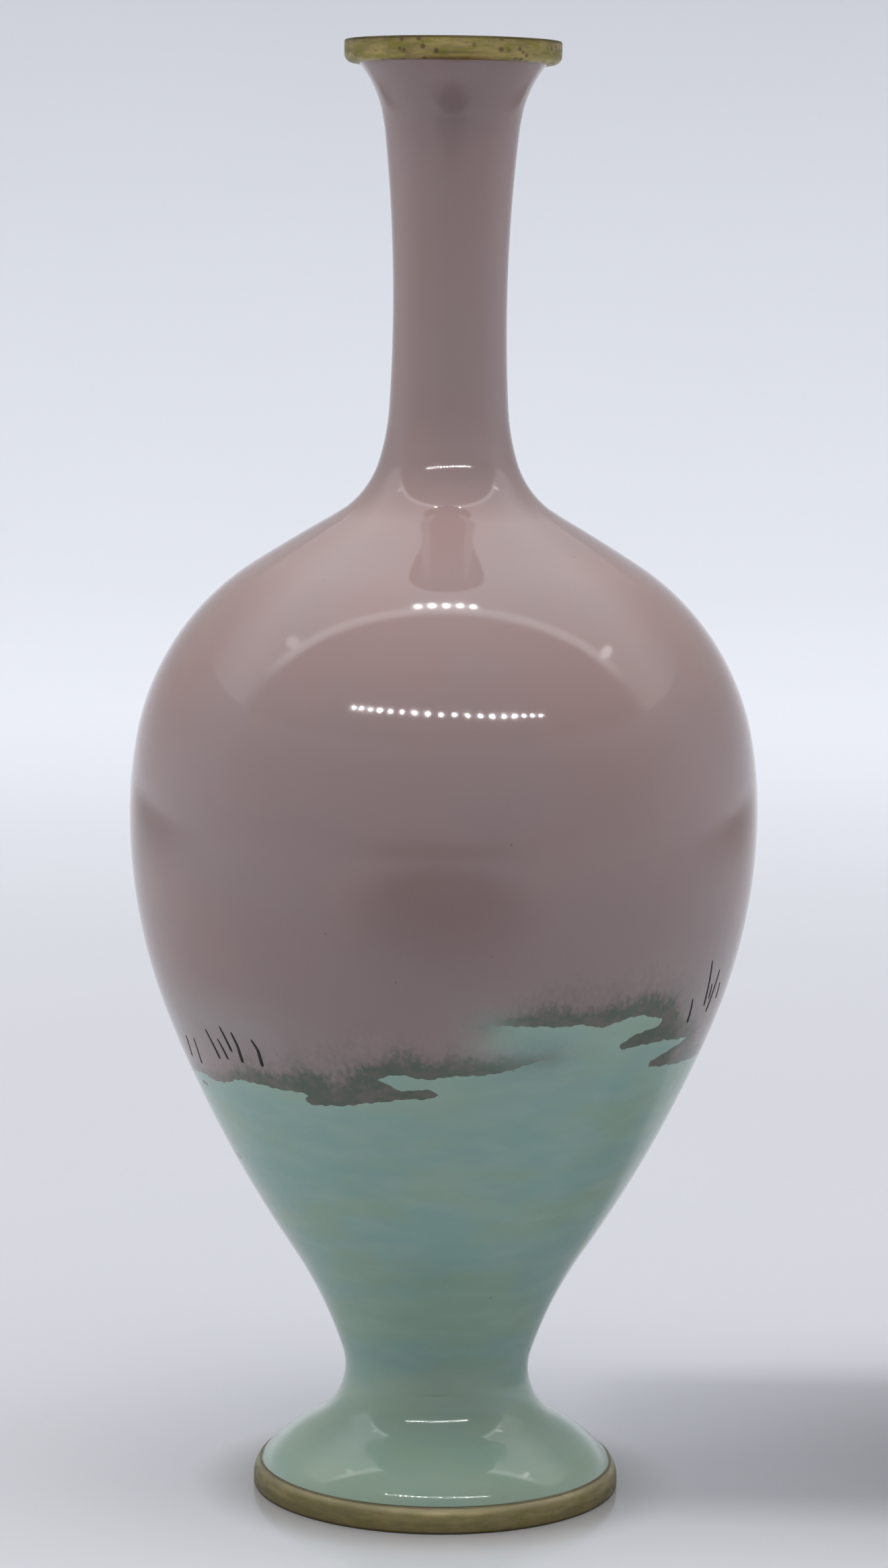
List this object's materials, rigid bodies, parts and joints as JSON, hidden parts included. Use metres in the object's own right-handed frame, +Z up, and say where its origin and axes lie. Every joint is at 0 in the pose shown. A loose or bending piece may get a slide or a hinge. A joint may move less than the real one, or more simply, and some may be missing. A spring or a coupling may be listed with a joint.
{
  "type": "cloisonne vase",
  "caption": "Footed bottle vase with a long neck, glass enamel on a copper body, a shore scene with reed wires, and brass bands round the mouth and the foot.",
  "frame": {"origin": "on the vase's axis, in the plane that the foot band stands on", "axes": "+Z up along the vase's axis; the side with the shore scene faces -Y, with +X on the viewer's right"},
  "size_m": [0.1058, 0.1058, 0.245],
  "materials": {
    "brass": "aged satin",
    "copper": "bare, dull",
    "silver_solder": "dull",
    "sky_glass": "polished",
    "land_glass": "polished",
    "water_glass": "polished",
    "inner_glass": "fired, unpolished",
    "reed_wire": "darkened, flush with the glass"
  },
  "bodies": {
    "root": {"mouth_rim": "brass", "foot_rim": "brass", "neck_core": "copper", "shoulder_core": "copper", "body_core": "copper", "foot_core": "copper", "base_plate": "copper", "neck_solder": "silver_solder", "belly_solder": "silver_solder", "stem_solder": "silver_solder", "base_solder": "silver_solder", "sky_enamel": "sky_glass", "left_bank_enamel": "land_glass", "right_bank_enamel": "land_glass", "back_bank_enamel": "land_glass", "islets_enamel": "land_glass", "water_enamel": "water_glass", "inner_enamel": "inner_glass", "base_enamel": "inner_glass", "left_reeds": "reed_wire", "right_reeds": "reed_wire", "back_reeds": "reed_wire"}
  },
  "joints": []
}
